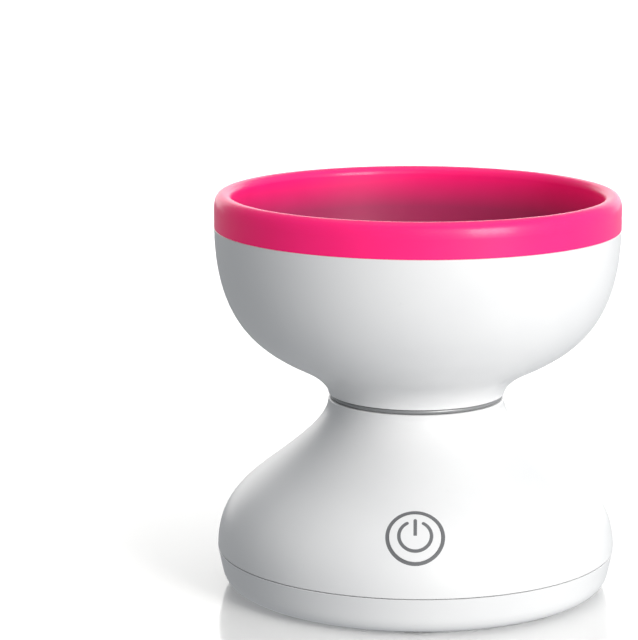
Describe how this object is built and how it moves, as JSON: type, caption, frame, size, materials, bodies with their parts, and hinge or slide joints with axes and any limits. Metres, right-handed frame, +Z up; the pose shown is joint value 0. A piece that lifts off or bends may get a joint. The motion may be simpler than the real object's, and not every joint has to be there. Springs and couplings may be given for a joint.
{
  "type": "make-up brush cleaner",
  "caption": "Electric make-up brush cleaner: a waisted round base with a power button turns a bowl with a lift-out silicone liner.",
  "frame": {"origin": "on the ground under the bowl's axis, between the four feet", "axes": "+Z up along the bowl's spin axis, -Y towards the power button, +Y towards the charging socket"},
  "size_m": [0.106, 0.106, 0.105],
  "materials": {
    "white_abs": "satin",
    "pink_silicone": "satin",
    "grey_trim": "matte",
    "black_rubber": "matte",
    "steel": "satin",
    "bright_steel": "polished",
    "bronze": "satin",
    "acetal": "satin",
    "black_plastic": "matte",
    "ferrite": "matte",
    "copper": "satin",
    "cell_case": "satin",
    "circuit_board": "satin",
    "pale_plastic": "matte",
    "red_insulation": "satin",
    "black_insulation": "satin"
  },
  "bodies": {
    "base": {"base_shell": "white_abs", "battery_cell": "cell_case", "battery_lead_black": "black_insulation", "battery_lead_red": "red_insulation", "battery_strap": "steel", "battery_tabs": "bright_steel", "board_capacitors": "pale_plastic", "board_chips": "black_plastic", "board_connectors": "pale_plastic", "board_screws": "steel", "bottom_cover": "white_abs", "button_ring": "grey_trim", "charge_inductor": "black_plastic", "cover_screws": "steel", "gear_cover": "black_plastic", "gear_cover_screws": "steel", "gear_plate": "black_plastic", "gear_plate_screws": "steel", "idler_pin": "steel", "lower_bush": "bronze", "main_board": "circuit_board", "motor_can": "steel", "motor_end_bell": "black_plastic", "motor_lead_black": "black_insulation", "motor_lead_red": "red_insulation", "motor_magnets": "ferrite", "motor_screws": "steel", "motor_terminals": "bronze", "neck_ring": "grey_trim", "rubber_feet": "black_rubber", "shaft_seal": "black_rubber", "strap_screws": "steel", "switch_board": "circuit_board", "switch_body": "black_plastic", "switch_leads": "black_insulation", "switch_screws": "steel", "upper_bush": "bronze", "usb_receptacle": "bright_steel", "usb_tongue": "black_plastic"},
    "bowl": {"bowl_shell": "white_abs", "spindle": "steel", "output_gear": "acetal", "thrust_washer": "steel", "spindle_clip": "steel", "bowl_screw": "steel", "bowl_washer": "steel"},
    "liner": {"silicone_liner": "pink_silicone"},
    "idler": {"idler_gear": "acetal"},
    "rotor": {"motor_shaft": "steel", "motor_pinion": "bronze", "armature_core": "steel", "armature_windings": "copper", "commutator": "copper"},
    "button": {"button_cap": "white_abs", "power_symbol": "grey_trim", "switch_plunger": "black_plastic"}
  },
  "joints": [
    {"name": "bowl_spin", "type": "hinge", "parent": "base", "child": "bowl", "pos_m": [0, 0, 0.045], "axis": [0, 0, 1], "continuous": true},
    {"name": "liner_lift", "type": "slide", "parent": "bowl", "child": "liner", "axis": [0, 0, 1], "range_m": [0, 0.06]},
    {"name": "idler_spin", "type": "hinge", "parent": "base", "child": "idler", "pos_m": [-0.01726, 0.00511, 0.034], "axis": [0, 0, 1], "continuous": true},
    {"name": "motor_spin", "type": "hinge", "parent": "base", "child": "rotor", "pos_m": [-0.02399, -0.00601, 0.018], "axis": [0, 0, 1], "continuous": true},
    {"name": "button_press", "type": "slide", "parent": "base", "child": "button", "axis": [0, 0.7431, -0.6691], "range_m": [0, 0.0005], "stiffness_N_per_m": 2000}
  ],
  "couplings": [
    {"joint": "idler_spin", "follows": "bowl_spin", "ratio": -4},
    {"joint": "motor_spin", "follows": "bowl_spin", "ratio": 13.333}
  ]
}
